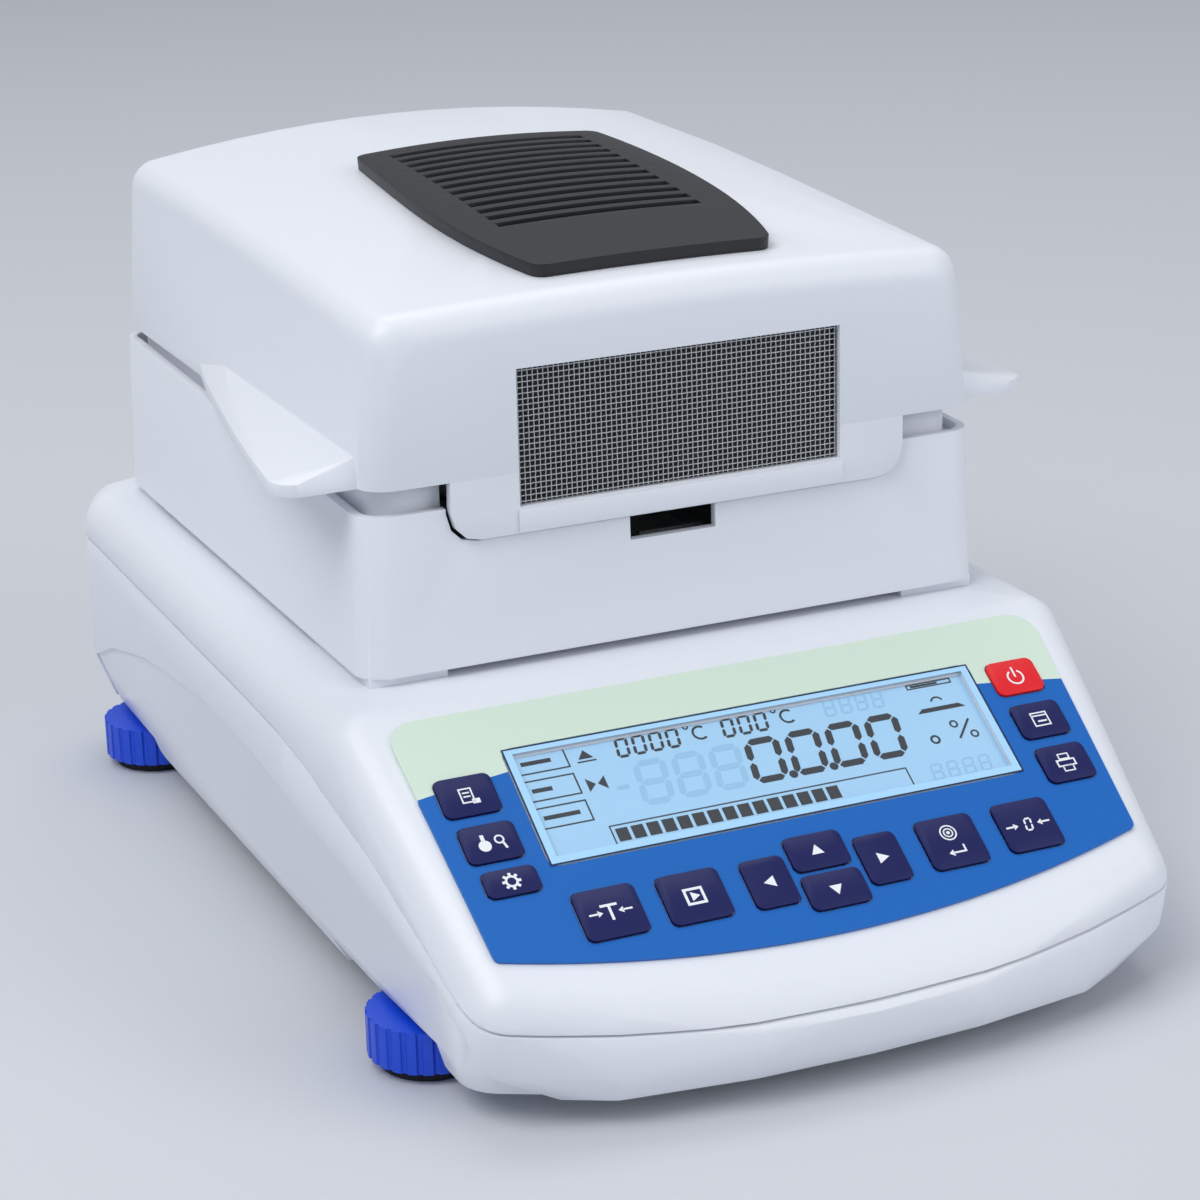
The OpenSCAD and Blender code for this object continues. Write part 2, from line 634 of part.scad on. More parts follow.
module window_glass() color([0.6, 0.65, 0.7, 0.35]) mid()
  translate([-window_hw - 3, lid_front + 2.85, window_z - 3.1])
    cube([2 * window_hw + 6, 2, window_h + 6.1]);

// Raised strip under the window
module window_band() color(white) mid() difference() {
  translate([-window_hw - 0.4, lid_front - 0.75, window_z - 6.5])
    cube([2 * window_hw + 0.8, 0.7, 6]);
  translate([1 - window_hw, lid_front - 3, window_z - 0.9])
    cube([2 * window_hw - 2, 2, 3]);
}

module lid_liner() color(metal) mid() {
  deep = cham_rear - lid_front - 26;
  high = liner_top - lid_z - 3;
  difference() {
    translate([-liner_hw, lid_front + 12, lid_z + 3]) cube([2 * liner_hw, deep, high]);
    translate([1.2 - liner_hw, lid_front + 13.2, lid_z + 4.2])
      cube([2 * liner_hw - 2.4, deep - 2.4, high - 2.4]);
    disc(0, pan_y, lid_z - 3, glass_r - 3, 20, 96);
    for (x = [-24:8:24], y = [pan_y - 37.5:16:pan_y + 26.5])
      translate([x, y, crown_h - 23]) cube([5, 3, 12]);
  }
}

module halogen_lamp() color([0.9, 0.9, 0.85, 0.6]) mid()
  translate([0, pan_y, lamp_z]) rotate_extrude($fn = 96) translate([lamp_r, 0]) circle(r = 4, $fn = 32);

module lamp_holders() color([0.88, 0.87, 0.83]) mid() difference() {
  for (m = [-1, 1])
    translate([m * lamp_r - 8, pan_y - 7, lamp_z - 7]) cube([16, 14, liner_top - lamp_z + 5.75]);
  translate([0, pan_y, lamp_z]) rotate_extrude($fn = 96) translate([lamp_r, 0]) circle(r = 4.03, $fn = 32);
}

module lamp_guard_glass() color([0.8, 0.85, 0.88, 0.4]) mid() disc(0, pan_y, lid_z + 4.25, glass_r, 2, 96);

module temperature_sensor() color(metal) mid() {
  disc(liner_hw - 10, pan_y - 30, lid_z + 0.6, 3.5, 2.35, 24);
  disc(liner_hw - 10, pan_y - 30, lid_z + 0.2, 1.5, 1, 24);
}

module hinge_pins() color(metal) mid()
  for (m = [-1, 1])
    translate([m * 39 - 12, hinge_y, hinge_z]) rotate([0, 90, 0])
      cylinder(r = pin_r, h = 24, $fn = 40);

module hinge_brackets() color(white) mid() difference() {
  for (m = [-1, 1]) {
    translate([m * 45 - 6, hinge_y, hinge_z]) rotate([0, 90, 0])
      cylinder(r = 4.5, h = 12, $fn = 40);
    translate([m * 45 - 6, cham_rear + 0.05, hinge_z - 18]) cube([12, 4.6, 18]);
  }
  translate([-60, hinge_y, hinge_z]) rotate([0, 90, 0])
    cylinder(r = pin_r + 0.01, h = 120, $fn = 40);
}

// Ribbed adjusting wheel with its threaded stud
module foot_wheel(m, j) mid() translate([m * foot_x, foot_ys[j], 0]) difference() {
  union() {
    disc(0, 0, 3.05, wheel_r, 11, 96);
    disc(0, 0, 12, 3, 16, 32);
  }
  disc(0, 0, 0, 3 + play, 9.6, 32);
  for (a = [0:wheel_grooves - 1])
    rotate([0, 0, a * 360 / wheel_grooves]) translate([wheel_r + 0.3, 0, 2])
      cylinder(r = 0.9, h = 14, $fn = 14);
}

module foot_pad(m, j) mid() translate([m * foot_x, foot_ys[j], 0]) {
  cylinder(r = 12.5, h = 3, $fn = 64);
  cylinder(r = 3, h = 9, $fn = 32);
}

module foot_wheel_fl() color([0.04, 0.27, 0.85]) foot_wheel(-1, 0);
module foot_wheel_fr() color([0.04, 0.27, 0.85]) foot_wheel(1, 0);
module foot_wheel_rl() color([0.04, 0.27, 0.85]) foot_wheel(-1, 1);
module foot_wheel_rr() color([0.04, 0.27, 0.85]) foot_wheel(1, 1);
module foot_pad_fl() color(dark) foot_pad(-1, 0);
module foot_pad_fr() color(dark) foot_pad(1, 0);
module foot_pad_rl() color(dark) foot_pad(-1, 1);
module foot_pad_rr() color(dark) foot_pad(1, 1);

module bubble_level() color([0.7, 0.9, 0.5, 0.8]) mid()
  disc(60 * wide, rear_y - 11.5, deck_h - 1.6, 4, 1.9, 32);

module housing_screws() color(metal) mid()
  for (p = posts) {
    disc(p[0], p[1], rim_z + 0.3, 4, 2.2, 32);
    disc(p[0], p[1], rim_z + 1, 1.98, 28, 24);
  }

base_tray();
base_cover();
keypad_overlay();
key_program();
key_setup();
key_settings();
key_menu();
key_list();
key_left();
key_up();
key_down();
key_right();
key_start();
key_zero();
key_power();
key_unit();
key_print();
lcd_window();
lcd_module();
keypad_board();
dome_switches();
main_board();
power_supply();
mains_inlet();
power_switch();
serial_ports();
usb_port();
load_cell();
load_cell_bracket();
pan_spindle();
pan_carrier();
sample_pan();
pan_handle();
draft_ring();
chamber_base();
chamber_floor();
lid_shell();
lid_grille();
window_glass();
window_mesh();
window_band();
lid_liner();
halogen_lamp();
lamp_holders();
lamp_guard_glass();
temperature_sensor();
hinge_pins();
hinge_brackets();
foot_wheel_fl();
foot_wheel_fr();
foot_wheel_rl();
foot_wheel_rr();
foot_pad_fl();
foot_pad_fr();
foot_pad_rl();
foot_pad_rr();
bubble_level();
housing_screws();
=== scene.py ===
import json
import math

import bpy
import numpy as np
from mathutils import Matrix, Vector


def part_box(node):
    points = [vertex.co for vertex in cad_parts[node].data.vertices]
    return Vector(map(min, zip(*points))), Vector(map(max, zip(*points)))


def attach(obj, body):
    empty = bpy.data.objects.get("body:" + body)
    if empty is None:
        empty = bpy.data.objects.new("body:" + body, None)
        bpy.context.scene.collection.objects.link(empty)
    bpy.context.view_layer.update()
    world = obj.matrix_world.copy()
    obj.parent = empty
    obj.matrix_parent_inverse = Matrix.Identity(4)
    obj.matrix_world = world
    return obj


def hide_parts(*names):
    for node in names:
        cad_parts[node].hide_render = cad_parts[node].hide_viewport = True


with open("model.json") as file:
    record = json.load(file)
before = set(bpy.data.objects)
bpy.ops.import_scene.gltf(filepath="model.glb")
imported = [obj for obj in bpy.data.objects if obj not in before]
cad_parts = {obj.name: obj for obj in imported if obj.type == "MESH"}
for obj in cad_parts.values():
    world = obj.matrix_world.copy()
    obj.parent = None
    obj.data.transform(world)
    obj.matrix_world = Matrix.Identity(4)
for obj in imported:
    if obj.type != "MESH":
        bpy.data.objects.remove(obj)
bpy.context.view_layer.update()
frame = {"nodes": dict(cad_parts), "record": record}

MM = 0.001

# Keypad plane at full size, as in the part's source, with the tilt rounded, in millimetres
PANEL_TILT = math.radians(33.2)
MID_Y = -4.0
CREST_Y = -70.5
CREST_S = 99.9
DECK_H = 82.0

# Levels out of the keypad plane: display, key tops and pane, and the thickness of print
DISPLAY_FACE = -0.3
KEY_FACE = 1.48
PANE_FACE = 0.98
INK = 0.06

# Display outline: left, right, lower and upper edge on the slope
LCD = (-65.0, 66.0, 46.8, 82.6)

# Keys: left, right, lower and upper edge on the slope
KEYS = {
    "program": (-84.8, -70.2, 65.2, 76.6), "setup": (-83.8, -69.5, 51.3, 62.0),
    "settings": (-82.6, -68.8, 41.1, 48.6), "menu": (-63.5, -47.4, 24.2, 38.2),
    "list": (-41.8, -25.5, 23.7, 37.8), "left": (-19.6, -7.9, 23.3, 37.3),
    "up": (-6.1, 9.3, 31.2, 41.3), "down": (-6.1, 9.9, 19.7, 29.8),
    "right": (11.6, 23.0, 23.4, 37.7), "start": (29.1, 44.8, 23.6, 38.4),
    "zero": (51.0, 66.4, 24.0, 38.6), "power": (70.2, 83.8, 70.2, 80.7),
    "unit": (70.5, 84.3, 55.8, 66.5), "print": (71.0, 84.7, 41.5, 52.5),
}

# Camera fitted to the photograph
EYE = Vector((-336.8, -765.1 + MID_Y, 358.7)) * MM
YAW = math.radians(23.8)
PITCH = math.radians(-18.7)
ROLL = math.radians(-1.5)
FOCAL = 3223.9
FRAME_PX = 1200
SENSOR = 36

# Colours of the film, of 255, and the arch between them: its half width, its fall at that
# width, and how far up the slope its middle is
FILM_BLUE = (0, 100, 188)
BAND_GREEN = (214, 232, 216)
ARCH_HALF = 90.0
ARCH_FALL = 7.0
ARCH_TOP = 79.0

# Depth of the moulding grain, and reach of the weld of double vertices, in metres
GRAIN_DEPTH = 0.0001
WELD_REACH = 0.00001


def linear(r, g, b):
    def one(c):
        c = c / 255
        return c / 12.92 if c <= 0.04045 else ((c + 0.055) / 1.055) ** 2.4
    return (one(r), one(g), one(b), 1.0)


def material(name, color, rough=0.5, metal=0.0, alpha=1.0, glow=0.0):
    mat = bpy.data.materials.new(name)
    mat.use_nodes = True
    shader = mat.node_tree.nodes["Principled BSDF"]
    shader.inputs["Base Color"].default_value = color
    shader.inputs["Roughness"].default_value = rough
    shader.inputs["Metallic"].default_value = metal
    shader.inputs["Alpha"].default_value = alpha
    if glow:
        shader.inputs["Emission Color"].default_value = color
        shader.inputs["Emission Strength"].default_value = glow
    return mat


def add_grain(mat, scale, strength):
    """Fine moulding texture as a bump."""
    tree = mat.node_tree
    place = tree.nodes.new("ShaderNodeTexCoord")
    noise = tree.nodes.new("ShaderNodeTexNoise")
    noise.inputs["Scale"].default_value = scale
    noise.inputs["Detail"].default_value = 3.0
    bump = tree.nodes.new("ShaderNodeBump")
    bump.inputs["Strength"].default_value = strength
    bump.inputs["Distance"].default_value = GRAIN_DEPTH
    tree.links.new(place.outputs["Object"], noise.inputs["Vector"])
    tree.links.new(noise.outputs["Fac"], bump.inputs["Height"])
    tree.links.new(bump.outputs["Normal"], tree.nodes["Principled BSDF"].inputs["Normal"])
    return mat


def add_wear(mat, scale, low, high):
    """Slow change of roughness over the surface."""
    tree = mat.node_tree
    place = tree.nodes.new("ShaderNodeTexCoord")
    noise = tree.nodes.new("ShaderNodeTexNoise")
    noise.inputs["Scale"].default_value = scale
    spread = tree.nodes.new("ShaderNodeMapRange")
    spread.inputs["To Min"].default_value = low
    spread.inputs["To Max"].default_value = high
    tree.links.new(place.outputs["Object"], noise.inputs["Vector"])
    tree.links.new(noise.outputs["Fac"], spread.inputs["Value"])
    tree.links.new(spread.outputs["Result"], tree.nodes["Principled BSDF"].inputs["Roughness"])
    return mat


def math_node(tree, kind, a, b):
    """Output of a math node, where a and b are numbers or other outputs."""
    node = tree.nodes.new("ShaderNodeMath")
    node.operation = kind
    for slot, value in ((0, a), (1, b)):
        if isinstance(value, (int, float)):
            node.inputs[slot].default_value = value
        else:
            tree.links.new(value, node.inputs[slot])
    return node.outputs[0]


def membrane_material():
    """Blue film with a pale green band above a shallow arch."""
    blue = linear(*FILM_BLUE)
    mat = material("membrane film", blue, rough=0.4)
    tree = mat.node_tree
    place = tree.nodes.new("ShaderNodeTexCoord")
    split = tree.nodes.new("ShaderNodeSeparateXYZ")
    tree.links.new(place.outputs["Object"], split.inputs[0])
    across = math_node(tree, "DIVIDE", split.outputs[0], ARCH_HALF * MM)
    squared = math_node(tree, "MULTIPLY", across, across)
    arch = math_node(tree, "MULTIPLY", squared, -ARCH_FALL * MM)
    base_y = (MID_Y + CREST_Y - CREST_S * math.cos(PANEL_TILT)) * MM
    up = math_node(tree, "DIVIDE", math_node(tree, "SUBTRACT", split.outputs[1], base_y),
                   math.cos(PANEL_TILT))
    over = math_node(tree, "SUBTRACT", up, math_node(tree, "ADD", arch, ARCH_TOP * MM))
    mask = math_node(tree, "GREATER_THAN", over, 0.0)
    mix = tree.nodes.new("ShaderNodeMix")
    mix.data_type = "RGBA"
    tree.links.new(mask, mix.inputs["Factor"])
    mix.inputs["A"].default_value = blue
    mix.inputs["B"].default_value = linear(*BAND_GREEN)
    tree.links.new(mix.outputs["Result"], tree.nodes["Principled BSDF"].inputs["Base Color"])
    return mat


HOUSING = add_grain(material("housing plastic", linear(232, 235, 242), rough=0.38), 2600, 0.12)
MATERIALS = {
    "housing": HOUSING,
    "membrane": membrane_material(),
    "key_blue": material("key blue", linear(0, 10, 84), rough=0.4),
    "key_red": material("key red", linear(232, 26, 36), rough=0.35),
    "display": material("display", linear(162, 206, 238), rough=0.35, glow=0.16),
    "clear": material("clear plastic", (0.5, 0.55, 0.6, 1), rough=0.06, alpha=0.05),
    "smoked": material("smoked pane", linear(14, 15, 19), rough=0.16, alpha=0.9),
    "board": add_wear(material("circuit board", linear(16, 92, 52), rough=0.4), 300, 0.3, 0.5),
    "steel": add_wear(material("steel", (0.56, 0.57, 0.58, 1), metal=1.0), 400, 0.26, 0.4),
    "aluminium": add_wear(material("aluminium", (0.75, 0.76, 0.77, 1), metal=1.0), 300, 0.3, 0.45),
    "dark": material("black moulding", linear(34, 35, 38), rough=0.5),
    "switch": material("switch black", linear(24, 24, 26), rough=0.3),
    "grille": add_grain(material("grille black", linear(25, 26, 30), rough=0.46), 2200, 0.3),
    "mesh": material("wire mesh", (0.62, 0.63, 0.66, 1), rough=0.34, metal=0.7),
    "quartz": material("quartz tube", (0.95, 0.93, 0.88, 1), rough=0.08, alpha=0.45),
    "ceramic": material("ceramic", linear(226, 222, 210), rough=0.4),
    "level": material("level liquid", linear(150, 205, 60), rough=0.1, alpha=0.8),
    "wheel": add_grain(material("wheel blue", linear(12, 72, 214), rough=0.34), 1800, 0.15),
    "rubber": add_grain(material("rubber", linear(30, 30, 32), rough=0.8), 1500, 0.4),
}
WHITE_INK = material("white print", linear(240, 243, 248), rough=0.45)
DARK_INK = material("display segments", linear(18, 22, 30), rough=0.5)
GHOST_INK = material("faint segments", linear(148, 194, 228), rough=0.5, glow=0.13)
OUTLINE_INK = material("dark outline", linear(22, 44, 78), rough=0.45)

# Width of the softened moulding edges in millimetres, by node, and of those of the keys
BEVELS = {"lid_shell": 0.5, "chamber_base": 0.7, "base_tray": 0.4, "base_cover": 0.4,
          "window_band": 0.2, "hinge_brackets": 0.5}
KEY_BEVEL = 0.25


def shade_smooth(piece):
    piece.data.polygons.foreach_set("use_smooth", [True] * len(piece.data.polygons))


def add_weld(piece):
    weld = piece.modifiers.new("weld", "WELD")
    weld.merge_threshold = WELD_REACH


def add_bevel(piece, width, degrees):
    bevel = piece.modifiers.new("soft edges", "BEVEL")
    bevel.width = width * MM
    bevel.segments = 2
    bevel.limit_method = "ANGLE"
    bevel.angle_limit = math.radians(degrees)


def add_crisp_edges(piece, degrees):
    split = piece.modifiers.new("crisp edges", "EDGE_SPLIT")
    split.split_angle = math.radians(degrees)


def dress_nodes():
    slot_of = {p["node"]: p["material_slot"] for p in frame["record"]["subparts"]}
    for name, node in frame["nodes"].items():
        node.data.materials.clear()
        node.data.materials.append(MATERIALS[slot_of[name]])
        shade_smooth(node)
        add_weld(node)
        if name in BEVELS or name.startswith("key_"):
            add_bevel(node, BEVELS.get(name, KEY_BEVEL), 42)
        add_crisp_edges(node, 34)


def on_panel(x, s, t):
    """Point in metres: x across, s up the slope, t out of the keypad plane."""
    along = s - CREST_S
    y = MID_Y + CREST_Y + along * math.cos(PANEL_TILT) - t * math.sin(PANEL_TILT)
    z = DECK_H + along * math.sin(PANEL_TILT) + t * math.cos(PANEL_TILT)
    return Vector((x, y, z)) * MM


def new_piece(name, verts, faces, mat, body):
    mesh = bpy.data.meshes.new(name)
    mesh.from_pydata([tuple(v) for v in verts], [], faces)
    mesh.validate()
    mesh.materials.append(mat)
    piece = bpy.data.objects.new(name, mesh)
    bpy.context.scene.collection.objects.link(piece)
    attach(piece, body)
    return piece


def print_shapes(name, shapes, level, mat, body):
    """Thin raised print on the keypad plane, from convex outlines wound anticlockwise."""
    verts = []
    faces = []
    for shape in shapes:
        n = len(shape)
        start = len(verts)
        verts += [on_panel(x, s, level) for x, s in shape]
        verts += [on_panel(x, s, level + INK) for x, s in shape]
        faces.append([start + n + i for i in range(n)])
        faces.append([start + n - 1 - i for i in range(n)])
        for i in range(n):
            j = (i + 1) % n
            faces.append([start + i, start + j, start + n + j, start + n + i])
    return new_piece(name, verts, faces, mat, body)


def rect(x0, x1, s0, s1):
    return [(x0, s0), (x1, s0), (x1, s1), (x0, s1)]


def frame_of(x0, x1, s0, s1, w):
    return [rect(x0, x1, s0, s0 + w), rect(x0, x1, s1 - w, s1),
            rect(x0, x0 + w, s0 + w, s1 - w), rect(x1 - w, x1, s0 + w, s1 - w)]


def disc_shape(x, s, r, n=20):
    return [(x + r * math.cos(2 * math.pi * i / n), s + r * math.sin(2 * math.pi * i / n))
            for i in range(n)]


def ring(x, s, r, w, a0=0.0, a1=360.0, n=20):
    parts = []
    for i in range(n):
        p = math.radians(a0 + (a1 - a0) * i / n)
        q = math.radians(a0 + (a1 - a0) * (i + 1) / n)
        parts.append([(x + (r - w) * math.cos(p), s + (r - w) * math.sin(p)),
                      (x + r * math.cos(p), s + r * math.sin(p)),
                      (x + r * math.cos(q), s + r * math.sin(q)),
                      (x + (r - w) * math.cos(q), s + (r - w) * math.sin(q))])
    return parts


def stroke(x0, s0, x1, s1, w):
    length = math.hypot(x1 - x0, s1 - s0)
    nx = -(s1 - s0) / length * w / 2
    ns = (x1 - x0) / length * w / 2
    return [(x0 - nx, s0 - ns), (x1 - nx, s1 - ns), (x1 + nx, s1 + ns), (x0 + nx, s0 + ns)]


SEGMENTS = {"0": "abcdef", "1": "bc", "2": "abdeg", "3": "abcdg", "4": "bcfg", "5": "acdfg",
            "6": "acdefg", "7": "abc", "8": "abcdefg", "9": "abcdfg"}
SLANT = 0.14


def rounded_rect(x0, x1, s0, s1, r, n=6):
    points = []
    for cx, cs, start in ((x1 - r, s0 + r, -90), (x1 - r, s1 - r, 0), (x0 + r, s1 - r, 90),
                          (x0 + r, s0 + r, 180)):
        for i in range(n + 1):
            a = math.radians(start + 90 * i / n)
            points.append((cx + r * math.cos(a), cs + r * math.sin(a)))
    return points


# Keypad film: half width at its lower and upper corners, upper edge, and the radius and
# lowest point of its lower edge
FILM_LOW = 86.2
FILM_HIGH = 90.5
FILM_TOP = 95.6
FILM_ARC = 327.0
FILM_BOTTOM = 13.0
FILM_CORNER = 7.0
FILM_THICK = 0.8
FILM_LIFT = 0.02
KEY_GAP = 0.3

# Corner radii of the openings for the display and the keys
LCD_CORNER = 3.0
KEY_CORNER = 2.2

# Points that ease the lower corners, outward and up from the end of the lower edge
FILM_EASE = ((0.7, 0.6), (1.0, 1.6))


def keypad_film():
    """Film with straight sides and openings for the display and the keys."""
    half_steps = 24
    corner_steps = 8
    outer = []
    for i in range(2 * half_steps + 1):
        x = FILM_LOW * (i / half_steps - 1)
        outer.append((x, FILM_BOTTOM + FILM_ARC - math.sqrt(FILM_ARC ** 2 - x * x)))
    corner = outer[-1][1]
    outer += [(FILM_LOW + out, corner + up) for out, up in FILM_EASE]
    top = []
    for i in range(corner_steps + 1):
        a = math.radians(90 * i / corner_steps)
        top.append((FILM_HIGH - FILM_CORNER + FILM_CORNER * math.cos(a),
                    FILM_TOP - FILM_CORNER + FILM_CORNER * math.sin(a)))
    outer += top
    outer += [(-x, s) for x, s in reversed(top)]
    outer += [(-FILM_LOW - out, corner + up) for out, up in reversed(FILM_EASE)]
    paths = [outer, rounded_rect(*LCD, LCD_CORNER)]
    for x0, x1, s0, s1 in KEYS.values():
        paths.append(rounded_rect(x0 - KEY_GAP, x1 + KEY_GAP, s0 - KEY_GAP, s1 + KEY_GAP,
                                  KEY_CORNER))
    data = bpy.data.curves.new("film", "CURVE")
    data.dimensions = "2D"
    data.fill_mode = "BOTH"
    data.extrude = FILM_THICK / 2
    for path in paths:
        spline = data.splines.new("POLY")
        spline.points.add(len(path) - 1)
        for point, (x, s) in zip(spline.points, path):
            point.co = (x, s, 0, 1)
        spline.use_cyclic_u = True
    flat = bpy.data.meshes.new_from_object(bpy.data.objects.new("film", data))
    level = FILM_LIFT + FILM_THICK / 2
    verts = [on_panel(v.co.x, v.co.y, level + v.co.z) for v in flat.vertices]
    faces = [list(f.vertices) for f in flat.polygons]
    film = new_piece("keypad_film", verts, faces, MATERIALS["membrane"], "housing")
    add_weld(film)
    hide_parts("keypad_overlay")


def digit(char, x, s, height, width, bar):
    """The lit bars of one slanted digit whose lower left corner is at x, s."""
    gap = bar * 0.16
    half = height / 2
    ends = {
        "a": ((0, height), (width, height)), "g": ((0, half), (width, half)),
        "d": ((0, 0), (width, 0)), "f": ((0, half), (0, height)),
        "e": ((0, 0), (0, half)), "b": ((width, half), (width, height)),
        "c": ((width, 0), (width, half)),
    }
    shapes = []
    for key in SEGMENTS[char]:
        (x0, s0), (x1, s1) = ends[key]
        b = bar / 2
        if s0 == s1:
            flat = [(x0 + gap, s0), (x0 + gap + b, s0 - b), (x1 - gap - b, s0 - b), (x1 - gap, s0),
                    (x1 - gap - b, s0 + b), (x0 + gap + b, s0 + b)]
        else:
            flat = [(x0, s0 + gap), (x0 + b, s0 + gap + b), (x0 + b, s1 - gap - b), (x0, s1 - gap),
                    (x0 - b, s1 - gap - b), (x0 - b, s0 + gap + b)]
        shapes.append([(x + px + SLANT * ps, s + ps) for px, ps in flat])
    return shapes


def digits(text, x, s, height, width, bar, pitch):
    shapes = []
    for char in text:
        if char == ".":
            shapes.append(disc_shape(x - pitch + width + bar * 1.1, s, bar * 0.62, 12))
            continue
        shapes += digit(char, x, s, height, width, bar)
        x += pitch
    return shapes


# Height, width, bar and pitch of the digits
SMALL_DIGITS = (5.2, 2.8, 0.8, 4.6)
LARGE_DIGITS = (11.6, 7.8, 1.9, 11.3)
FAINT_LARGE = (11.6, 7.0, 1.7, 10.2)
FAINT_UPPER = (4.8, 2.7, 0.62, 4.6)
FAINT_LOWER = (4.6, 2.7, 0.6, 4.6)
CELSIUS_PITCH = 3.2


def celsius(x):
    return ring(x, 79.9, 0.8, 0.38) + ring(x + CELSIUS_PITCH, 77.5, 2.2, 0.6, 50, 310)


def display_print():
    """Signs, digits and borders of the display, placed in millimetres on the keypad plane."""
    dark = digits("0000", -35.5, 74.8, *SMALL_DIGITS) + celsius(-15.6)
    dark += digits("000", -6.4, 74.8, *SMALL_DIGITS) + celsius(8.9)
    dark += digits("0.0.00", -3.6, 60.2, *LARGE_DIGITS)
    for row, fill in enumerate((0.75, 0.5, 0.9)):
        top = 81.0 - 8.2 * row
        dark += frame_of(-62.2, -48.6, top - 6.4, top, 0.4)
        dark.append(rect(-60.8, -60.8 + 10.6 * fill, top - 3.8, top - 2.6))
    dark.append([(-46.0, 76.2), (-42.0, 76.2), (-44.0, 78.8)])
    dark.append(rect(-46.5, -41.5, 75.2, 75.6))
    dark.append([(-46.6, 66.4), (-44.4, 68.4), (-46.6, 70.4)])
    dark.append([(-41.6, 66.4), (-41.6, 70.4), (-43.8, 68.4)])
    dark += frame_of(47.0, 60.0, 78.4, 80.0, 0.35)
    dark.append(rect(48.2, 56.0, 78.9, 79.5))
    dark.append([(46.6, 70.6), (60.4, 70.6), (58.8, 71.9), (48.2, 71.9)])
    dark += ring(53.4, 73.2, 1.9, 0.5, 20, 160, 10)
    dark += ring(47.6, 62.2, 1.4, 0.6)
    dark += ring(54.6, 65.8, 1.2, 0.5)
    dark += ring(58.9, 61.8, 1.2, 0.5)
    dark.append(stroke(54.4, 61.2, 59.2, 66.6, 0.6))
    dark += frame_of(-46.0, 36.0, 49.6, 55.8, 0.35)
    for i in range(15):
        dark.append(rect(-44.8 + 4.1 * i, -41.6 + 4.1 * i, 50.8, 54.6))
    ghost = digits("888", -34.0, 60.2, *FAINT_LARGE)
    ghost += digits("8888", 42.0, 50.4, *FAINT_LOWER)
    ghost += digits("8", 22.4, 75.2, *FAINT_UPPER)
    ghost += digits("888", 27.0, 75.2, *FAINT_UPPER)
    ghost.append(rect(-39.6, -36.4, 65.4, 66.6))
    ink_level = DISPLAY_FACE + 0.01
    print_shapes("display_segments", dark, ink_level, DARK_INK, "housing")
    print_shapes("display_faint_segments", ghost, ink_level, GHOST_INK, "housing")
    x0, x1, s0, s1 = LCD
    edge = 0.75
    side = 2.7
    upper = 2.1
    border = [rect(x0 + edge, x1 - edge, s0 + edge, s0 + side),
              rect(x0 + edge, x1 - edge, s1 - upper, s1 - edge),
              rect(x0 + edge, x0 + side, s0 + side, s1 - upper),
              rect(x1 - side, x1 - edge, s0 + side, s1 - upper)]
    print_shapes("display_border", border, PANE_FACE, MATERIALS["display"], "housing")
    outline = frame_of(x0 + 0.3, x1 - 0.3, s0 + 0.3, s1 - 0.3, 0.45)
    print_shapes("display_outline", outline, PANE_FACE, OUTLINE_INK, "housing")


def sheet_icon(x, s):
    shapes = frame_of(x - 2.0, x + 1.4, s - 2.2, s + 2.2, 0.4)
    shapes += [rect(x - 1.2, x + 0.6, s + 0.6, s + 1.0), rect(x - 1.2, x + 0.6, s - 0.5, s - 0.1)]
    shapes.append(rect(x + 0.6, x + 2.6, s - 2.6, s - 1.2))
    return shapes


def gear_icon(x, s):
    shapes = ring(x, s, 1.7, 0.6)
    for i in range(8):
        a = math.radians(45 * i)
        shapes.append(stroke(x + 1.6 * math.cos(a), s + 1.6 * math.sin(a),
                             x + 2.4 * math.cos(a), s + 2.4 * math.sin(a), 0.75))
    return shapes


def side_arrows(x, s, far, near, tip, back):
    """Two arrows that point at the middle from both sides, at these distances from it."""
    shapes = []
    for side in (-1, 1):
        end = x + side * back
        shapes.append(stroke(x + side * far, s, x + side * near, s, 0.5))
        shapes.append([(x + side * tip, s), (end, s - 0.9 * side), (end, s + 0.9 * side)])
    return shapes


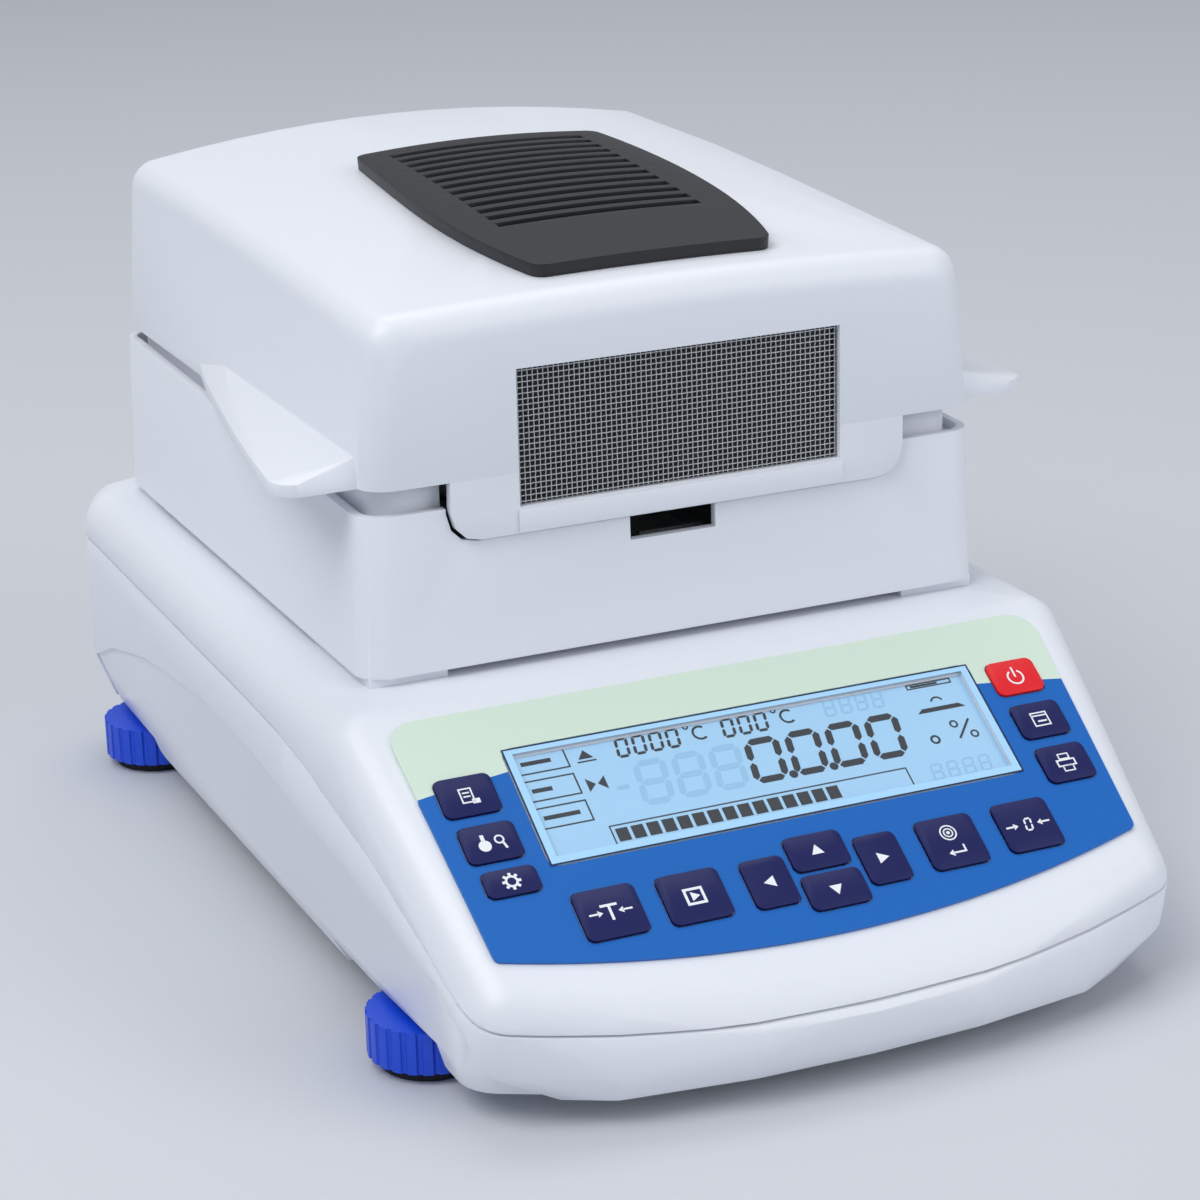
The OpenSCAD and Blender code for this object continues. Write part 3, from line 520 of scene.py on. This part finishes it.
def key_icons():
    """White signs on the keys, drawn round the middle of each key in millimetres."""
    mid = {k: ((v[0] + v[1]) / 2, (v[2] + v[3]) / 2) for k, v in KEYS.items()}
    icons = {}
    x, s = mid["program"]
    icons["program"] = sheet_icon(x, s)
    x, s = mid["setup"]
    icons["setup"] = [disc_shape(x - 1.8, s - 0.8, 1.6), rect(x - 2.3, x - 1.3, s + 0.6, s + 2.4)]
    icons["setup"] += ring(x + 2.2, s + 0.4, 1.3, 0.45)
    icons["setup"].append(stroke(x + 2.9, s - 0.6, x + 3.4, s - 2.4, 0.6))
    x, s = mid["settings"]
    icons["settings"] = gear_icon(x, s)
    x, s = mid["menu"]
    icons["menu"] = [rect(x - 2.2, x + 2.2, s + 1.6, s + 2.3),
                     rect(x - 0.35, x + 0.35, s - 2.3, s + 1.6)]
    icons["menu"] += side_arrows(x, s, 5.6, 3.0, 2.0, 3.3)
    x, s = mid["list"]
    icons["list"] = frame_of(x - 2.6, x + 2.6, s - 2.4, s + 2.4, 0.7)
    icons["list"].append([(x - 0.9, s - 1.3), (x + 1.4, s), (x - 0.9, s + 1.3)])
    x, s = mid["left"]
    icons["left"] = [[(x - 1.7, s), (x + 1.3, s - 1.6), (x + 1.3, s + 1.6)]]
    x, s = mid["right"]
    icons["right"] = [[(x + 1.7, s), (x - 1.3, s + 1.6), (x - 1.3, s - 1.6)]]
    x, s = mid["up"]
    icons["up"] = [[(x - 1.7, s - 1.0), (x + 1.7, s - 1.0), (x, s + 1.8)]]
    x, s = mid["down"]
    icons["down"] = [[(x + 1.7, s + 1.0), (x - 1.7, s + 1.0), (x, s - 1.8)]]
    x, s = mid["start"]
    icons["start"] = ring(x, s + 2.6, 2.3, 0.4) + ring(x, s + 2.6, 1.35, 0.35)
    icons["start"] += [disc_shape(x, s + 2.6, 0.5, 12), rect(x - 1.2, x + 2.6, s - 3.6, s - 3.1),
                       rect(x + 2.1, x + 2.6, s - 3.1, s - 1.4)]
    icons["start"].append([(x - 2.4, s - 3.35), (x - 1.0, s - 4.3), (x - 1.0, s - 2.4)])
    x, s = mid["zero"]
    icons["zero"] = digit("0", x - 0.9, s - 1.7, 3.4, 1.7, 0.5)
    icons["zero"] += side_arrows(x, s, 6.2, 3.6, 2.7, 4.0)
    x, s = mid["power"]
    icons["power"] = ring(x, s - 0.2, 2.4, 0.5, 120, 420)
    icons["power"].append(rect(x - 0.25, x + 0.25, s - 0.2, s + 3.0))
    x, s = mid["unit"]
    icons["unit"] = frame_of(x - 2.4, x + 2.4, s - 2.2, s + 2.2, 0.4)
    icons["unit"] += [rect(x - 2.4, x + 2.4, s + 0.9, s + 1.3),
                      rect(x - 1.0, x + 1.6, s - 0.9, s - 0.4)]
    x, s = mid["print"]
    icons["print"] = frame_of(x - 2.7, x + 2.7, s - 1.3, s + 0.9, 0.45)
    icons["print"] += frame_of(x - 1.6, x + 1.6, s + 0.9, s + 2.7, 0.35)
    icons["print"] += frame_of(x - 1.6, x + 1.6, s - 2.9, s - 0.9, 0.35)
    for key, shapes in icons.items():
        print_shapes("icon_" + key, shapes, KEY_FACE, WHITE_INK, "key_" + key)


# Spacing and radius of the window's wires, in millimetres, and the sides of a wire
MESH_STEP = 1.4
WIRE_RADIUS = 0.135
WIRE_SIDES = 5


def add_wire(verts, faces, points, normal):
    """Adds one wire along points, as a closed tube."""
    start = len(verts)
    for i, p in enumerate(points):
        ahead = points[min(i + 1, len(points) - 1)] - points[max(i - 1, 0)]
        ahead.normalize()
        side = ahead.cross(normal).normalized()
        up = side.cross(ahead)
        for k in range(WIRE_SIDES):
            a = 2 * math.pi * k / WIRE_SIDES
            verts.append(p + (side * math.cos(a) + up * math.sin(a)) * WIRE_RADIUS * MM)
    for i in range(len(points) - 1):
        for k in range(WIRE_SIDES):
            a = start + i * WIRE_SIDES + k
            b = start + i * WIRE_SIDES + (k + 1) % WIRE_SIDES
            faces.append((a, b, b + WIRE_SIDES, a + WIRE_SIDES))
    faces.append([start + WIRE_SIDES - 1 - k for k in range(WIRE_SIDES)])
    faces.append([start + (len(points) - 1) * WIRE_SIDES + k for k in range(WIRE_SIDES)])


def woven_mesh():
    """Fine woven wire cloth behind the window opening."""
    low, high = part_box("window_mesh")
    depth = (low.y + high.y) / 2
    nx = int((high.x - low.x) / (MESH_STEP * MM))
    nz = int((high.z - low.z) / (MESH_STEP * MM))
    x_at = [low.x + (high.x - low.x) * (i + 0.5) / nx for i in range(nx)]
    z_at = [low.z + (high.z - low.z) * (j + 0.5) / nz for j in range(nz)]
    out = Vector((0, -1, 0))
    verts = []
    faces = []

    def sway(i, j):
        return (WIRE_RADIUS if (i + j) % 2 else -WIRE_RADIUS) * MM

    for i, x in enumerate(x_at):
        points = [Vector((x, depth, low.z))]
        points += [Vector((x, depth + sway(i, j), z)) for j, z in enumerate(z_at)]
        points.append(Vector((x, depth, high.z)))
        add_wire(verts, faces, points, out)
    for j, z in enumerate(z_at):
        points = [Vector((low.x, depth, z))]
        points += [Vector((x, depth - sway(i, j), z)) for i, x in enumerate(x_at)]
        points.append(Vector((high.x, depth, z)))
        add_wire(verts, faces, points, out)
    cloth = new_piece("woven_mesh", verts, faces, MATERIALS["mesh"], "lid")
    shade_smooth(cloth)
    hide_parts("window_mesh")


# A face of the grille's solid counts as its top when its normal rises more than this
TOP_FACE = 0.8


def crown_height():
    """Smooth height over x and y in metres, fitted to the top of the grille's solid."""
    node = frame["nodes"]["lid_grille"]
    rows = []
    heights = []
    for face in node.data.polygons:
        if face.normal.z > TOP_FACE:
            for index in face.vertices:
                p = node.matrix_world @ node.data.vertices[index].co
                rows.append(crown_terms(p.x, p.y))
                heights.append(p.z)
    factors = np.linalg.lstsq(np.array(rows), np.array(heights), rcond=None)[0]
    return lambda x, y: float(np.dot(crown_terms(x, y), factors))


def crown_terms(x, y):
    """Terms of the fit, even across x, with x and y scaled to about 1."""
    u = (x / 0.04) ** 2
    v = y / 0.08
    return [1.0, v, v * v, v ** 3, u, u * v, u * u]


# Vent plate in the part's own Y, in millimetres: ends, and half width along the sides
PLATE_REAR = 77.0
PLATE_FRONT = -42.0
PLATE_SIDE = ((77.0, 36.6), (50.0, 38.9), (25.0, 40.1), (5.0, 40.0), (-15.0, 38.2),
              (-30.0, 35.6), (-42.0, 32.6))
PLATE_CORNER = 3.0
PLATE_THICK = 3.4
SLOT_FIRST = 70.0
SLOT_LAST = -12.0
SLOTS = 13
SLOT_SHARE = 0.55
SLOT_HALF = 29.0

# Height of the plate over the fit, and spacing and number of its rows ahead of the slots
PLATE_LIFT = 0.05
FRONT_STEP = 4.5
FRONT_ROWS = 6


def vent_plate():
    """Vent plate with smooth sides, over the lid's crown."""
    height = crown_height()
    curve = np.polyfit([p[0] for p in PLATE_SIDE], [p[1] for p in PLATE_SIDE], 4)
    step = (SLOT_FIRST - SLOT_LAST) / SLOTS
    insets = [0.0, 0.2, 0.9, 2.0, PLATE_CORNER]
    rows = [(PLATE_REAR - d, d, False) for d in insets]
    for n in range(SLOTS):
        rows.append((SLOT_FIRST - n * step, PLATE_CORNER, True))
        rows.append((SLOT_FIRST - (n + SLOT_SHARE) * step, PLATE_CORNER, False))
    rows += [(SLOT_LAST - FRONT_STEP * i, PLATE_CORNER, False) for i in range(FRONT_ROWS)]
    rows += [(PLATE_FRONT + d, d, False) for d in reversed(insets)]
    middle = 14
    verts = []
    for y, inset, _ in rows:
        half = float(np.polyval(curve, y))
        back = PLATE_CORNER - inset
        half += math.sqrt(PLATE_CORNER ** 2 - back ** 2) - PLATE_CORNER
        across = [-half, -(half + SLOT_HALF) / 2]
        across += [-SLOT_HALF + 2 * SLOT_HALF * i / middle for i in range(middle + 1)]
        across += [(half + SLOT_HALF) / 2, half]
        for x in across:
            px = x * MM
            py = (y + MID_Y) * MM
            verts.append(Vector((px, py, height(px, py) + PLATE_LIFT * MM)))
    wide = len(across)
    faces = []
    for j, row in enumerate(rows[:-1]):
        for i in range(wide - 1):
            if row[2] and 2 <= i < 2 + middle:
                continue
            a = j * wide + i
            faces.append((a, a + wide, a + wide + 1, a + 1))
    plate = new_piece("vent_plate", verts, faces, MATERIALS["grille"], "lid")
    shade_smooth(plate)
    thick = plate.modifiers.new("thickness", "SOLIDIFY")
    thick.thickness = PLATE_THICK * MM
    thick.offset = -1
    add_bevel(plate, 0.4, 50)
    add_crisp_edges(plate, 40)
    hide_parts("lid_grille")


def camera():
    forward = Vector((math.sin(YAW) * math.cos(PITCH), math.cos(YAW) * math.cos(PITCH),
                      math.sin(PITCH)))
    level = Vector((math.cos(YAW), -math.sin(YAW), 0))
    top = level.cross(forward)
    right = level * math.cos(ROLL) + top * math.sin(ROLL)
    up = top * math.cos(ROLL) - level * math.sin(ROLL)
    data = bpy.data.cameras.new("camera")
    data.sensor_width = SENSOR
    data.lens = FOCAL / FRAME_PX * SENSOR
    data.clip_end = 50
    cam = bpy.data.objects.new("camera", data)
    turn = Matrix((right, up, -forward)).transposed().to_4x4()
    cam.matrix_world = Matrix.Translation(EYE) @ turn
    bpy.context.scene.collection.objects.link(cam)
    bpy.context.scene.camera = cam


def area_light(name, place, target, size, power):
    data = bpy.data.lights.new(name, "AREA")
    data.shape = "RECTANGLE"
    data.size = size[0]
    data.size_y = size[1]
    data.energy = power
    lamp = bpy.data.objects.new(name, data)
    lamp.location = place
    lamp.rotation_euler = (Vector(target) - Vector(place)).to_track_quat("-Z", "Y").to_euler()
    bpy.context.scene.collection.objects.link(lamp)


def studio():
    bpy.ops.mesh.primitive_plane_add(size=14, location=(0, 2, 0))
    floor = bpy.context.object
    floor.name = "floor"
    floor.data.materials.append(material("floor", (0.62, 0.64, 0.68, 1), rough=0.6))
    area_light("key_light", (-1.3, -0.5, 1.9), (0, 0, 0.08), (1.4, 1.4), 26)
    area_light("fill_light", (1.6, -1.7, 1.2), (0, 0, 0.08), (1.6, 1.6), 17)
    area_light("top_light", (0.2, 0.9, 2.2), (0, 0, 0.1), (1.8, 1.2), 13)
    world = bpy.data.worlds.new("studio")
    world.use_nodes = True
    sky = world.node_tree.nodes["Background"]
    sky.inputs["Color"].default_value = (0.80, 0.85, 0.92, 1)
    sky.inputs["Strength"].default_value = 0.46
    bpy.context.scene.world = world
    bpy.context.scene.view_settings.view_transform = "Standard"


dress_nodes()
keypad_film()
display_print()
key_icons()
woven_mesh()
vent_plate()
camera()
studio()
